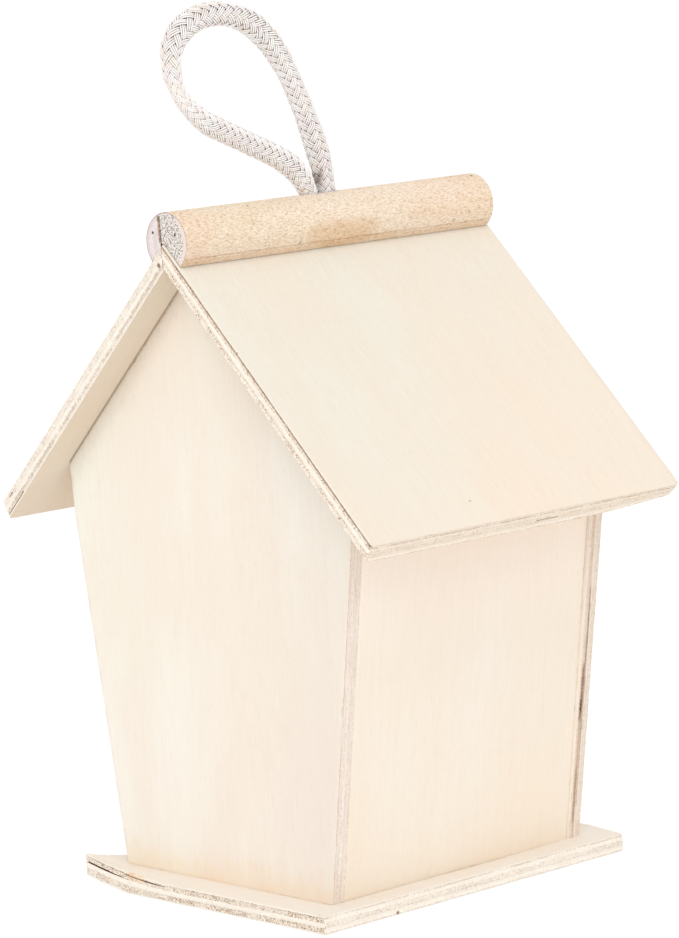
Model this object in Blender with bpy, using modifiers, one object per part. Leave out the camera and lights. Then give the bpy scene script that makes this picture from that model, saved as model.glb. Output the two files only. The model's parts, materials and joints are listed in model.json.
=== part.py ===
# Gable birdhouse in raw plywood, with a ridge dowel and a rope loop to hang it by.
# Metres, +Z up. The origin is the middle of the base's underside. The entrance
# faces -Y, and the ridge runs along Y.

from math import atan2, cos, pi, radians, sin, sqrt, tan

import bmesh
import bpy
from mathutils import Matrix, Vector

MM = 0.001

# Driving dimensions
GAP = 0.3 * MM  # between glued faces
PLY = 4.8 * MM
BASE_PLY = 5.0 * MM
BASE_HALF_X = 49.0 * MM
BASE_HALF_Y = 58.0 * MM
HOUSE_HALF_Y = 48.0 * MM  # to the outer face of each gable panel
FOOT_HALF_X = 41.3 * MM  # half width of a gable panel where it stands on the base
SHOULDER_HALF_X = 58.0 * MM  # half width of a gable panel under the eaves
RIDGE_Z = 182.5 * MM  # outer edge of the roof, which slopes at 45 degrees
SEAM_TOP_X = 0.8 * MM  # the joint between the roof panels is a little off centre
SEAM_FOOT_X = 0.4 * MM
ROOF_HALF_Y = 58.6 * MM
EAVE_X = 75.6 * MM
EAVE_UNDERCUT = Vector((2.5 * MM, 4.3 * MM))  # eave edge: how far in and down its lower corner is
EDGE_ROUND = 0.3 * MM
ENTRANCE_RADIUS = 16.0 * MM
ENTRANCE_Z = 104.0 * MM
PERCH_RADIUS = 3.2 * MM
PERCH_Z = 72.0 * MM
PERCH_OUT = 26.0 * MM
DOWEL_RADIUS = 8.2 * MM
DOWEL_X = -1.2 * MM
DOWEL_Z = 183.0 * MM
DOWEL_ENDS_Y = (-57.8 * MM, 58.2 * MM)
ROPE_RADIUS = 3.0 * MM
ROPE_X = 1.0 * MM
LEG_FRONT_Y = -3.0 * MM
LEG_BACK_Y = 3.6 * MM
POCKET_FLOOR_Z = 184.7 * MM
HINGE_Z = 197.0 * MM  # the loop bends over the ridge at this height

# Worked out from those
FOOT_Z = BASE_PLY + GAP
SOFFIT_Z = RIDGE_Z - PLY * sqrt(2)  # underside of the roof at the ridge
SHOULDER_Z = SOFFIT_Z - SHOULDER_HALF_X
EAVE_Z = RIDGE_Z - EAVE_X
WALL_LEAN = atan2(SHOULDER_HALF_X - FOOT_HALF_X, SHOULDER_Z - FOOT_Z)
WALL_HALF_Y = HOUSE_HALF_Y - PLY - GAP

# The rope's route: out of the pocket by its front leg, round the loop, and back down
# beside it by its back leg.
ROPE_ROUTE = [
    (1.0, -3.0, 185.0), (1.0, -3.0, 188.5), (1.0, -2.9, 192.0), (1.0, -1.4, 199.6),
    (1.1, 1.2, 207.9), (1.3, 4.6, 216.4), (1.5, 8.9, 225.2), (1.8, 13.8, 232.7),
    (2.1, 19.6, 238.2), (2.5, 25.9, 241.3), (2.9, 32.3, 242.4), (3.3, 38.8, 241.7),
    (3.6, 44.6, 238.8), (3.8, 47.9, 234.5), (3.9, 48.6, 229.3), (3.8, 47.5, 224.0),
    (3.5, 44.1, 218.5), (3.0, 38.2, 213.5), (2.5, 31.0, 210.0), (2.0, 23.3, 206.4),
    (1.6, 15.7, 202.9), (1.3, 10.1, 199.6), (1.1, 6.0, 195.5), (1.0, 3.9, 191.6),
    (1.0, 3.6, 188.4), (1.0, 3.6, 185.0),
]


def clear_scene():
    for obj in list(bpy.data.objects):
        bpy.data.objects.remove(obj, do_unlink=True)


def new_collection(name):
    made = bpy.data.collections.new(name)
    bpy.context.scene.collection.children.link(made)
    return made


def new_material(name, colour, roughness):
    made = bpy.data.materials.new(name)
    made.use_nodes = True
    shader = made.node_tree.nodes["Principled BSDF"]
    shader.inputs["Base Color"].default_value = (*colour, 1.0)
    shader.inputs["Roughness"].default_value = roughness
    shader.inputs["Metallic"].default_value = 0.0
    made.diffuse_color = (*colour, 1.0)
    return made


def add_mesh_object(name, mesh, collection, material=None):
    obj = bpy.data.objects.new(name, mesh)
    collection.objects.link(obj)
    if material:
        mesh.materials.append(material)
    return obj


def mesh_from_curve(curve, name):
    """The curve's evaluated shape as a mesh, its caps welded to its sides."""
    holder = bpy.data.objects.new(name + "_curve", curve)
    bpy.context.scene.collection.objects.link(holder)
    graph = bpy.context.evaluated_depsgraph_get()
    mesh = bpy.data.meshes.new_from_object(holder.evaluated_get(graph))
    bpy.data.objects.remove(holder, do_unlink=True)
    made = bmesh.new()
    made.from_mesh(mesh)
    bmesh.ops.remove_doubles(made, verts=made.verts, dist=1e-6)
    bmesh.ops.recalc_face_normals(made, faces=made.faces)
    made.to_mesh(mesh)
    made.free()
    mesh.name = name
    return mesh


def extruded_outline(name, outline, half_depth):
    """A closed outline in X and Z, as deep as twice half_depth along Y about the origin."""
    curve = bpy.data.curves.new(name, "CURVE")
    curve.dimensions = "2D"
    curve.fill_mode = "BOTH"
    curve.extrude = half_depth
    spline = curve.splines.new("POLY")
    spline.points.add(len(outline) - 1)
    for point, (x, z) in zip(spline.points, outline):
        point.co = (x, z, 0.0, 1.0)
    spline.use_cyclic_u = True
    mesh = mesh_from_curve(curve, name)
    mesh.shade_flat()
    mesh.transform(Matrix.Rotation(radians(90), 4, "X"))
    return mesh


def arc(centre, radius, start, end, steps):
    """Points on an arc in X and Z, from the start angle to the end angle, both included."""
    turns = [start + (end - start) * i / steps for i in range(steps + 1)]
    return [(centre[0] + radius * cos(t), centre[1] + radius * sin(t)) for t in turns]


def add_bevel(obj, width, angle=radians(35), segments=1):
    bevel = obj.modifiers.new("eased edges", "BEVEL")
    bevel.width = width
    bevel.segments = segments
    bevel.limit_method = "ANGLE"
    bevel.angle_limit = angle


def add_cut(obj, cutter):
    cut = obj.modifiers.new(cutter.name, "BOOLEAN")
    cut.operation = "DIFFERENCE"
    cut.object = cutter


def as_cutter(obj):
    obj.hide_render = True
    obj.display_type = "WIRE"
    return obj


def round_shading(obj, sharp_angle=radians(35)):
    obj.data.shade_smooth()
    obj.data.set_sharp_from_angle(angle=sharp_angle)


def box_cutter(name, centre, size, tilt=0.0):
    """A box turned by tilt about Y."""
    made = bmesh.new()
    bmesh.ops.create_cube(made, size=1.0)
    bmesh.ops.scale(made, verts=made.verts, vec=size)
    mesh = bpy.data.meshes.new(name)
    made.to_mesh(mesh)
    made.free()
    obj = add_mesh_object(name, mesh, cutters)
    obj.location = centre
    obj.rotation_euler = (0.0, tilt, 0.0)
    return as_cutter(obj)


def turned_mesh_along_y(name, radius, length, sides):
    """A round bar along Y about the origin."""
    made = bmesh.new()
    bmesh.ops.create_cone(
        made, cap_ends=True, segments=sides, radius1=radius, radius2=radius, depth=length
    )
    mesh = bpy.data.meshes.new(name)
    made.to_mesh(mesh)
    made.free()
    mesh.transform(Matrix.Rotation(radians(90), 4, "X"))
    return mesh


def warped_slab_mesh(name, stations_x, stations_y, low, high):
    """A slab whose underside and top follow low(x, y) and high(x, y)."""
    x0, x1 = stations_x[0], stations_x[-1]
    y0, y1 = stations_y[0], stations_y[-1]
    made = bmesh.new()
    bmesh.ops.create_cube(made, size=1.0)
    bmesh.ops.scale(made, verts=made.verts, vec=(x1 - x0, y1 - y0, 1.0))
    middle = ((x0 + x1) / 2, (y0 + y1) / 2, 0.0)
    bmesh.ops.translate(made, verts=made.verts, vec=middle)
    cuts = [((x, 0, 0), (1, 0, 0)) for x in stations_x[1:-1]]
    cuts += [((0, y, 0), (0, 1, 0)) for y in stations_y[1:-1]]
    for point, normal in cuts:
        every = made.verts[:] + made.edges[:] + made.faces[:]
        bmesh.ops.bisect_plane(made, geom=every, plane_co=point, plane_no=normal)
    for vert in made.verts:
        surface = high if vert.co.z > 0 else low
        vert.co.z = surface(vert.co.x, vert.co.y)
    bmesh.ops.triangulate(made, faces=[f for f in made.faces if abs(f.normal.z) > 0.5])
    mesh = bpy.data.meshes.new(name)
    made.to_mesh(mesh)
    made.free()
    return mesh


# The base: one of its corners has curled up and its plies have begun to part.

CURL_TOP = 4.3 * MM  # how far the corner's top has risen
CURL_BOTTOM = 3.0 * MM
CURL_REACH_X = 34.0 * MM
CURL_REACH_Y = 25.0 * MM
CURL_BOTTOM_REACH = 17.5 * MM


def free_margin(x, y):
    """0 under the house, rising to 1 at the base's edge."""
    along_y = (y - HOUSE_HALF_Y - GAP) / (BASE_HALF_Y - HOUSE_HALF_Y - GAP)
    along_x = (x - FOOT_HALF_X - GAP) / (BASE_HALF_X - FOOT_HALF_X - GAP)
    return min(1.0, max(0.0, along_x, along_y))


def fade(distance, reach, power):
    return max(0.0, 1.0 - max(0.0, distance) / reach) ** power


def base_top(x, y):
    near_x = fade(BASE_HALF_X - x, CURL_REACH_X, 1.7)
    near_y = fade(BASE_HALF_Y - y, CURL_REACH_Y, 1.7)
    return BASE_PLY + CURL_TOP * free_margin(x, y) * near_x * near_y


def base_bottom(x, y):
    near_x = fade(BASE_HALF_X - x, CURL_BOTTOM_REACH, 1.0)
    near_y = fade(BASE_HALF_Y - y, CURL_BOTTOM_REACH, 1.0)
    return CURL_BOTTOM * free_margin(x, y) * near_x * near_y


def parted_plies(name, from_x, to_x, inward, depth, opening):
    """A thin wedge under the base's top, open at the back edge, closing inward and at both ends."""
    past_edge = 2.0 * MM
    ends_y = (BASE_HALF_Y - inward, BASE_HALF_Y + past_edge)
    stations_y = [ends_y[0] + (ends_y[1] - ends_y[0]) * i / 4 for i in range(5)]
    stations_x = [from_x + (to_x - from_x) * i / 8 for i in range(9)]

    def middle(x, y):
        return base_top(x, min(y, BASE_HALF_Y)) - depth

    def half_open(x, y):
        along = (x - from_x) / (to_x - from_x)
        outward = (y - ends_y[0]) / inward
        return 0.5 * opening(along) * min(1.0, 0.1 + 0.9 * outward)

    def low(x, y):
        return middle(x, y) - half_open(x, y)

    def high(x, y):
        return middle(x, y) + half_open(x, y)

    mesh = warped_slab_mesh(name, stations_x, stations_y, low, high)
    return as_cutter(add_mesh_object(name, mesh, cutters))


def make_base_plate():
    margin_x = [FOOT_HALF_X + GAP + 1.85 * MM * i for i in range(4)]
    margin_y = [HOUSE_HALF_Y + GAP + 2.4 * MM * i for i in range(4)]
    inner_x = [x * MM for x in (15.0, 21.0, 26.0, 30.0, 33.5, 37.0)]
    inner_y = [y * MM for y in (33.0, 37.0, 41.0, 44.5)]
    mesh = warped_slab_mesh(
        "base_plate",
        [-BASE_HALF_X, *inner_x, *margin_x, BASE_HALF_X],
        [-BASE_HALF_Y, *inner_y, *margin_y, BASE_HALF_Y],
        base_bottom,
        base_top,
    )
    plate = add_mesh_object("base_plate", mesh, parts, plywood)
    add_bevel(plate, EDGE_ROUND, angle=radians(60))
    corner_split = parted_plies(
        "corner_split_cut", 33.4 * MM, 51.0 * MM, 6.5 * MM, 2.1 * MM,
        lambda along: 0.5 * MM * (0.3 + 0.7 * min(1.0, along * 3.0)),
    )
    veneer_split = parted_plies(
        "veneer_split_cut", 15.5 * MM, 32.6 * MM, 3.0 * MM, 0.85 * MM,
        lambda along: 0.42 * MM * (0.12 + 0.88 * sin(pi * min(1.0, 0.12 + along * 0.8))),
    )
    add_cut(plate, corner_split)
    add_cut(plate, veneer_split)


# The house: two gable panels with two leaning side walls between them.


def gable_outline():
    top_drop = GAP * sqrt(2)  # keeps the gap square to the slope
    shoulder = SHOULDER_HALF_X - top_drop / 2
    shoulder_z = SHOULDER_Z - top_drop / 2
    return [
        (-FOOT_HALF_X, FOOT_Z),
        (FOOT_HALF_X, FOOT_Z),
        (shoulder, shoulder_z),
        (0.0, SOFFIT_Z - top_drop),
        (-shoulder, shoulder_z),
    ]


def make_gable_panel(name, centre_y):
    mesh = extruded_outline(name, gable_outline(), PLY / 2)
    panel = add_mesh_object(name, mesh, parts, plywood)
    panel.location = (0.0, centre_y, 0.0)
    add_bevel(panel, EDGE_ROUND)
    return panel


def make_gables():
    centre_y = HOUSE_HALF_Y - PLY / 2
    make_gable_panel("back_panel", centre_y)
    front = make_gable_panel("front_panel", -centre_y)
    entrance = add_mesh_object(
        "entrance_cut", turned_mesh_along_y("entrance_cut", ENTRANCE_RADIUS, 4 * PLY, 48), cutters
    )
    entrance.location = (0.0, -centre_y, ENTRANCE_Z)
    perch_hole = add_mesh_object(
        "perch_hole_cut", turned_mesh_along_y("perch_hole_cut", PERCH_RADIUS + GAP, 4 * PLY, 20), cutters
    )
    perch_hole.location = (0.0, -centre_y, PERCH_Z)
    for cutter in (entrance, perch_hole):
        add_cut(front, as_cutter(cutter))
    # A core void shows as a dark slot in the panel's leaning edge, widest in its middle.
    for name, low_z, high_z, width in (
        ("core_void_cut", 15.0 * MM, 74.0 * MM, 0.36 * MM),
        ("core_void_middle_cut", 37.0 * MM, 52.0 * MM, 0.7 * MM),
    ):
        middle_z = (low_z + high_z) / 2
        edge_x = FOOT_HALF_X + (middle_z - FOOT_Z) * tan(WALL_LEAN)
        middle = (-edge_x, -HOUSE_HALF_Y + 0.52 * PLY, middle_z)
        add_cut(front, box_cutter(name, middle, (3.0 * MM, width, high_z - low_z), -WALL_LEAN))


def make_side_wall(name, side):
    """side is +1 at +X and -1 at -X. The wall's top is cut to the roof's slope."""
    lean_x, lean_z = sin(WALL_LEAN), cos(WALL_LEAN)
    foot_outer = Vector((FOOT_HALF_X, FOOT_Z))
    outer_top = Vector((SHOULDER_HALF_X - GAP / sqrt(2), SHOULDER_Z - GAP / sqrt(2)))
    inner_foot = Vector((FOOT_HALF_X - PLY / lean_z, FOOT_Z))
    # The inner face runs parallel to the outer one, up to the plane under the roof.
    top_plane = SOFFIT_Z - GAP * sqrt(2)
    rise = (top_plane - inner_foot.x - inner_foot.y) / (lean_x + lean_z)
    inner_top = inner_foot + rise * Vector((lean_x, lean_z))
    outline = [(side * p.x, p.y) for p in (foot_outer, outer_top, inner_top, inner_foot)]
    wall = add_mesh_object(name, extruded_outline(name, outline, WALL_HALF_Y), parts, plywood)
    add_bevel(wall, EDGE_ROUND)


# The roof: two panels mitred together along the ridge.


def make_roof_panel(name, side):
    seam_top = SEAM_TOP_X * side + GAP / 2  # counted towards the panel's own side
    seam_foot = SEAM_FOOT_X * side + GAP / 2
    eave_inner = (EAVE_X - EAVE_UNDERCUT.x, EAVE_Z - EAVE_UNDERCUT.y)
    outline = [
        (seam_top, RIDGE_Z - abs(seam_top)),
        (EAVE_X, EAVE_Z),
        eave_inner,
        (seam_foot, SOFFIT_Z - abs(seam_foot)),
    ]
    if side < 0:  # this panel reaches past the middle, so the ridge and its foot are its corners
        outline.insert(1, (0.0, RIDGE_Z))
        outline.insert(-1, (0.0, SOFFIT_Z))
    mesh = extruded_outline(name, [(side * x, z) for x, z in outline], ROOF_HALF_Y)
    corner_round = 1.3 * MM
    made = bmesh.new()
    made.from_mesh(mesh)
    corners = [
        e for e in made.edges
        if abs(e.verts[0].co.y - e.verts[1].co.y) < 1e-6
        and min(abs(v.co.x) for v in e.verts) > EAVE_X - 2 * EAVE_UNDERCUT.x
        and abs(abs(e.verts[0].co.y) - ROOF_HALF_Y) < 1e-6
    ]
    bmesh.ops.bevel(made, geom=corners, offset=corner_round, segments=3, profile=0.5, affect="EDGES")
    made.to_mesh(mesh)
    made.free()
    panel = add_mesh_object(name, mesh, parts, plywood)
    add_bevel(panel, EDGE_ROUND, angle=radians(40))
    return panel


def make_roof():
    left = make_roof_panel("left_roof_panel", 1)
    right = make_roof_panel("right_roof_panel", -1)
    slope = radians(45)
    # The inner veneer has lifted off the left panel's back edge, next to the eave.
    lifted = box_cutter(
        "lifted_veneer_cut",
        (69.9 * MM, ROOF_HALF_Y, SOFFIT_Z - 69.9 * MM + 0.9 * MM),
        (12.5 * MM, 3.0 * MM, 0.4 * MM),
        slope,
    )
    back_void = box_cutter(
        "back_void_cut",
        (71.3 * MM, ROOF_HALF_Y, RIDGE_Z - 71.3 * MM - 1.5 * MM),
        (2.4 * MM, 3.0 * MM, 0.4 * MM),
        slope,
    )
    add_cut(left, lifted)
    add_cut(left, back_void)
    # A short core void in the right panel's eave edge.
    void = box_cutter(
        "eave_void_cut",
        (-74.2 * MM, -7.4 * MM, 104.5 * MM),
        (3.6 * MM, 8.4 * MM, 0.4 * MM),
        -slope,
    )
    add_cut(right, void)


# The ridge dowel: a round rod notched to sit over the ridge, with a pocket for the rope.


def dowel_outline():
    centre = (DOWEL_X, DOWEL_Z)
    notch = Vector((0.0, RIDGE_Z + GAP * sqrt(2)))

    def foot(side):
        """Where the notch's 45 degree face leaves the rod."""
        out_x = side * (notch.x - DOWEL_X)
        out_z = DOWEL_Z - notch.y
        half_sum = (out_z - out_x) / 2
        run = half_sum + sqrt(half_sum**2 - (out_x**2 + out_z**2 - DOWEL_RADIUS**2) / 2)
        return Vector((notch.x + side * run, notch.y - run))

    right_foot, left_foot = foot(1), foot(-1)
    start = atan2(right_foot.y - DOWEL_Z, right_foot.x - DOWEL_X)
    end = atan2(left_foot.y - DOWEL_Z, left_foot.x - DOWEL_X) + 2 * pi
    score = pi + radians(33.5)  # a shallow line scored along the rod above its left foot
    score_half = radians(1.6)
    outline = arc(centre, DOWEL_RADIUS, start, score - score_half, 36)
    outline += arc(centre, DOWEL_RADIUS - 0.35 * MM, score, score, 1)[:1]
    outline += arc(centre, DOWEL_RADIUS, score + score_half, end, 4)
    outline.append((notch.x, notch.y))
    return outline


def pocket_mesh():
    """A slot with round ends, long enough for both legs of the rope, standing on z = 0."""
    radius = ROPE_RADIUS + GAP
    half_run = (LEG_BACK_Y - LEG_FRONT_Y) / 2
    outline = arc((0.0, half_run), radius, 0.0, pi, 10) + arc((0.0, -half_run), radius, pi, 2 * pi, 10)
    height = 12.0 * MM
    mesh = extruded_outline("rope_pocket_cut", outline, height / 2)
    mesh.transform(Matrix.Rotation(radians(-90), 4, "X"))
    mesh.transform(Matrix.Translation((0.0, 0.0, height / 2)))
    return mesh


def make_ridge_dowel():
    y0, y1 = DOWEL_ENDS_Y
    mesh = extruded_outline("ridge_dowel", dowel_outline(), (y1 - y0) / 2)
    dowel = add_mesh_object("ridge_dowel", mesh, parts, dowel_wood)
    dowel.location = (0.0, (y0 + y1) / 2, 0.0)
    add_bevel(dowel, 0.35 * MM, angle=radians(70))
    pocket = add_mesh_object("rope_pocket_cut", pocket_mesh(), cutters)
    pocket.location = (ROPE_X, (LEG_FRONT_Y + LEG_BACK_Y) / 2, POCKET_FLOOR_Z)
    drying_crack = box_cutter(
        "drying_crack_cut",
        (1.5 * MM, y1, RIDGE_Z + 4.0 * MM),
        (1.1 * MM, 2.0 * MM, 7.2 * MM),
        radians(3),
    )
    add_cut(dowel, as_cutter(pocket))
    add_cut(dowel, drying_crack)
    round_shading(dowel)


def make_perch():
    length = PLY + PERCH_OUT
    mesh = turned_mesh_along_y("perch_dowel", PERCH_RADIUS, length, 20)
    perch = add_mesh_object("perch_dowel", mesh, parts, dowel_wood)
    perch.location = (0.0, -HOUSE_HALF_Y + PLY - length / 2, PERCH_Z)
    add_bevel(perch, 0.5 * MM, segments=2)
    round_shading(perch)


# The rope: one length whose two ends are glued in the pocket. The loop bends over the
# ridge just above the dowel, so it is a body of its own, hinged there.


def smooth_route(points, step):
    """Points about step apart along a smooth curve through the given ones."""
    places = [Vector(p) * MM for p in points]
    padded = [2 * places[0] - places[1], *places, 2 * places[-1] - places[-2]]
    found = []
    for before, a, b, after in zip(padded, padded[1:], padded[2:], padded[3:]):
        count = max(1, round((b - a).length / step))
        for i in range(count):
            t = i / count
            found.append(0.5 * (
                2 * a + (b - before) * t
                + (2 * before - 5 * a + 4 * b - after) * t**2
                + (3 * a - before - 3 * b + after) * t**3
            ))
    return [*found, places[-1]]


def add_rope(name, points, sizes=None):
    """A tube through the points. sizes scales its radius at each of them."""
    curve = bpy.data.curves.new(name, "CURVE")
    curve.dimensions = "3D"
    curve.bevel_depth = ROPE_RADIUS
    curve.bevel_resolution = 3
    curve.use_fill_caps = True
    spline = curve.splines.new("POLY")
    spline.points.add(len(points) - 1)
    for point, place, size in zip(spline.points, points, sizes or [1.0] * len(points)):
        point.co = (*place, 1.0)
        point.radius = size
    curve.materials.append(cotton)
    obj = bpy.data.objects.new(name, curve)
    parts.objects.link(obj)
    return obj


def split_at_height(route, height):
    """The route in three: up to this height, the loop above it, and from there down, in that order."""
    first = next(i for i, p in enumerate(route) if p.z > height)
    last = max(i for i, p in enumerate(route) if p.z > height)

    def crossing(low, high):
        return low.lerp(high, (height - low.z) / (high.z - low.z))

    up_at = crossing(route[first - 1], route[first])
    down_at = crossing(route[last + 1], route[last])
    loop = [up_at, *route[first:last + 1], down_at]
    return [*route[:first], up_at], loop, [down_at, *route[last + 1:]]


def shortened(points, cut):
    """The points without the last stretch of this length."""
    left = cut
    kept = list(points)
    while (kept[-1] - kept[-2]).length < left:
        left -= (kept[-1] - kept[-2]).length
        kept.pop()
    kept[-1] = kept[-1] + (kept[-2] - kept[-1]).normalized() * left
    return kept


def round_end(first, second):
    """Points and sizes that close a tube with a half ball centred on its first point."""
    out = (first - second).normalized() * ROPE_RADIUS
    turns = [radians(t) for t in (82, 62, 38, 18)]
    return [first + sin(t) * out for t in turns], [cos(t) for t in turns]


def make_rope():
    rising, loop, falling = split_at_height(smooth_route(ROPE_ROUTE, 3.0 * MM), HINGE_Z)
    clear = ROPE_RADIUS + GAP
    add_rope("rope_end_front", shortened(rising, clear))
    add_rope("rope_end_back", shortened(falling[::-1], clear))
    # Each leg ends in a half ball on the hinge's axis, so turning it needs no more room.
    start_points, start_sizes = round_end(loop[0], loop[1])
    end_points, end_sizes = round_end(loop[-1], loop[-2])
    whole = [*start_points, *loop, *reversed(end_points)]
    sizes = [*start_sizes, *[1.0] * len(loop), *reversed(end_sizes)]
    pivot = bpy.data.objects.new("loop_hinge", None)
    pivot.location = (ROPE_X, (loop[0].y + loop[-1].y) / 2, HINGE_Z)
    parts.objects.link(pivot)
    tube = add_rope("hanging_loop", [p - pivot.location for p in whole], sizes)
    tube.parent = pivot


clear_scene()
parts = new_collection("birdhouse")
cutters = new_collection("cutters")
plywood = new_material("pale plywood", (0.91, 0.80, 0.65), 0.7)
dowel_wood = new_material("dowel wood", (0.87, 0.70, 0.52), 0.65)
cotton = new_material("braided cotton", (0.90, 0.86, 0.80), 0.9)

make_base_plate()
make_gables()
make_side_wall("left_wall", 1)
make_side_wall("right_wall", -1)
make_roof()
make_ridge_dowel()
make_perch()
make_rope()
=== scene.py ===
import json
from bisect import bisect_right
from math import atan2, cos, pi, radians, sin, tan

import bmesh
import bpy
from mathutils import Matrix, Vector, noise
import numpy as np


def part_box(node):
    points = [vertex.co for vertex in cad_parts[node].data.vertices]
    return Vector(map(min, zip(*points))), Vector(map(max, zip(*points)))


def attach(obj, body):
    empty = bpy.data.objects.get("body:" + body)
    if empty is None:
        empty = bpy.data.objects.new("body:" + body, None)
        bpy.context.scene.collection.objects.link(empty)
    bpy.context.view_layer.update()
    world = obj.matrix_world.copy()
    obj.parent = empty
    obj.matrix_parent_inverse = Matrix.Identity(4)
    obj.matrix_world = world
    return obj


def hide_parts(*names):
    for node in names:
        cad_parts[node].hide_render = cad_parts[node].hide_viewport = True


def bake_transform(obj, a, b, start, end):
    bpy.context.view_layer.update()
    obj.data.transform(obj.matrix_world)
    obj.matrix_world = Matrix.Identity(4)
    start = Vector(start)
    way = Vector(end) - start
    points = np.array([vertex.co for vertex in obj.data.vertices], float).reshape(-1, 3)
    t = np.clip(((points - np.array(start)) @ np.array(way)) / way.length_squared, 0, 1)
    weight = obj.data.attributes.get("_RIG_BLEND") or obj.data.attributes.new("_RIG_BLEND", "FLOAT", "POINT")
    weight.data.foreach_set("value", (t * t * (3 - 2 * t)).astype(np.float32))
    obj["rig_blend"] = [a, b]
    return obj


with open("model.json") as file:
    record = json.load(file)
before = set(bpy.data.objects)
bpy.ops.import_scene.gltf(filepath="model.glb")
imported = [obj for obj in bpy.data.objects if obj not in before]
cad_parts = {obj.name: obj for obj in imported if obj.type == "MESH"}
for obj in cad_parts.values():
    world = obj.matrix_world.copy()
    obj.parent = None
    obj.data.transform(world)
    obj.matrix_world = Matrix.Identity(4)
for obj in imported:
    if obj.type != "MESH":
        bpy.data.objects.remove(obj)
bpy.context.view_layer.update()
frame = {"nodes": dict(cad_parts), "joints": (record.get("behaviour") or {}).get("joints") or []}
nodes = frame["nodes"]
scene = bpy.context.scene
mm = 0.001
print("frame loaded:", len(nodes), "nodes")


# Camera, low and from behind the house, so that the back gable and the right slope of the roof show.

view = {
    "azimuth": radians(226.99),
    "elevation": radians(8.175),
    "roll": radians(-3.005),
    "distance": 1.2255,
    "aim": Vector((-0.0008, -0.0009, 0.1138)),
    "lens": 168.9,
}


def addCamera(v):
    level = cos(v["elevation"])
    away = Vector((sin(v["azimuth"]) * level, -cos(v["azimuth"]) * level, sin(v["elevation"])))
    across = away.cross(Vector((0, 0, -1))).normalized()
    upward = away.cross(across)
    turnedAcross = cos(v["roll"]) * across + sin(v["roll"]) * upward
    turnedUpward = cos(v["roll"]) * upward - sin(v["roll"]) * across
    camera = bpy.data.cameras.new("camera")
    camera.lens = v["lens"]
    camera.sensor_width = 36
    camera.clip_start = 0.05
    holder = bpy.data.objects.new("camera", camera)
    place = Matrix((turnedAcross, turnedUpward, away)).transposed().to_4x4()
    place.translation = v["aim"] + v["distance"] * away
    holder.matrix_world = place
    scene.collection.objects.link(holder)
    scene.camera = holder


addCamera(view)
print("camera placed")


# Shader wiring. A Wire is one value in a material; sums written with it become Math nodes.


class Wire:
    def __init__(self, paint, socket):
        self.paint = paint
        self.socket = socket

    def math(self, operation, *others):
        return self.paint.node("ShaderNodeMath", {"operation": operation}, dict(enumerate((self, *others))))

    def __add__(self, other):
        return self.math("ADD", other)

    __radd__ = __add__

    def __sub__(self, other):
        return self.math("SUBTRACT", other)

    def __rsub__(self, other):
        return self.paint.node("ShaderNodeMath", {"operation": "SUBTRACT"}, {0: other, 1: self})

    def __mul__(self, other):
        return self.math("MULTIPLY", other)

    __rmul__ = __mul__

    def __truediv__(self, other):
        return self.math("DIVIDE", other)

    def __pow__(self, other):
        return self.math("POWER", other)

    def __abs__(self):
        return self.math("ABSOLUTE")

    def least(self, other):
        return self.math("MINIMUM", other)

    def most(self, other):
        return self.math("MAXIMUM", other)

    def rise(self, low, high):  # 0 below low, 1 above high, smooth between
        settings = {"interpolation_type": "SMOOTHSTEP"}
        return self.paint.node("ShaderNodeMapRange", settings, {"Value": self, 1: low, 2: high})

    def fall(self, low, high):
        return 1 - self.rise(low, high)

    def near(self, middle, reach):  # 1 at middle, falling to 0 at reach either side
        return abs(self - middle).fall(0.0, reach)


class Paint:
    def __init__(self, name):
        self.material = bpy.data.materials.new(name)
        self.material.use_nodes = True
        self.tree = self.material.node_tree
        self.shader = self.tree.nodes["Principled BSDF"]

    def node(self, kind, settings=None, inputs=None, out=0):
        made = self.tree.nodes.new(kind)
        for name, value in (settings or {}).items():
            setattr(made, name, value)
        for name, value in (inputs or {}).items():
            self.plug(made.inputs[name], value)
        return Wire(self, made.outputs[out])

    def plug(self, socket, value):
        if isinstance(value, Wire):
            self.tree.links.new(value.socket, socket)
        elif socket.type == "RGBA":
            socket.default_value = (*value, 1.0)
        else:
            socket.default_value = value

    def mix(self, share, first, second, blend="MIX"):
        settings = {"data_type": "RGBA", "blend_type": blend}
        inputs = {0: share, 6: first, 7: second}  # these and output 2 are the node's colour sockets
        return self.node("ShaderNodeMix", settings, inputs, out=2)

    def tint(self, share, colour, by):  # colour multiplied by another, in part
        return self.mix(share, colour, by, "MULTIPLY")

    def inMillimetres(self, place, shift=(0.0, 0.0, 0.0)):
        return self.scaled(place, (1000.0, 1000.0, 1000.0), shift)

    def scaled(self, place, scale, shift=(0.0, 0.0, 0.0)):
        settings = {"operation": "MULTIPLY_ADD"}
        return self.node("ShaderNodeVectorMath", settings, {0: place, 1: scale, 2: shift})

    def noise(self, place, scale, detail=2.0, rough=0.5):
        inputs = {"Vector": place, "Scale": scale, "Detail": detail, "Roughness": rough}
        return self.node("ShaderNodeTexNoise", {}, inputs)

    def cells(self, place, scale):
        return self.node("ShaderNodeTexVoronoi", {}, {"Vector": place, "Scale": scale})

    def split(self, vector):
        first = self.node("ShaderNodeSeparateXYZ", {}, {0: vector})
        return [Wire(self, socket) for socket in first.socket.node.outputs]

    def bump(self, height, distance, strength=1.0):
        inputs = {"Height": height, "Distance": distance, "Strength": strength}
        return self.node("ShaderNodeBump", {}, inputs)

    def finish(self, colour, roughness, normal=None, specular=0.3):
        self.plug(self.shader.inputs["Base Color"], colour)
        self.plug(self.shader.inputs["Roughness"], roughness)
        self.shader.inputs["Specular IOR Level"].default_value = specular
        if normal:
            self.plug(self.shader.inputs["Normal"], normal)
        return self.material


# The rope: sixteen strands of three yarns, braided over two and under two.

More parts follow.
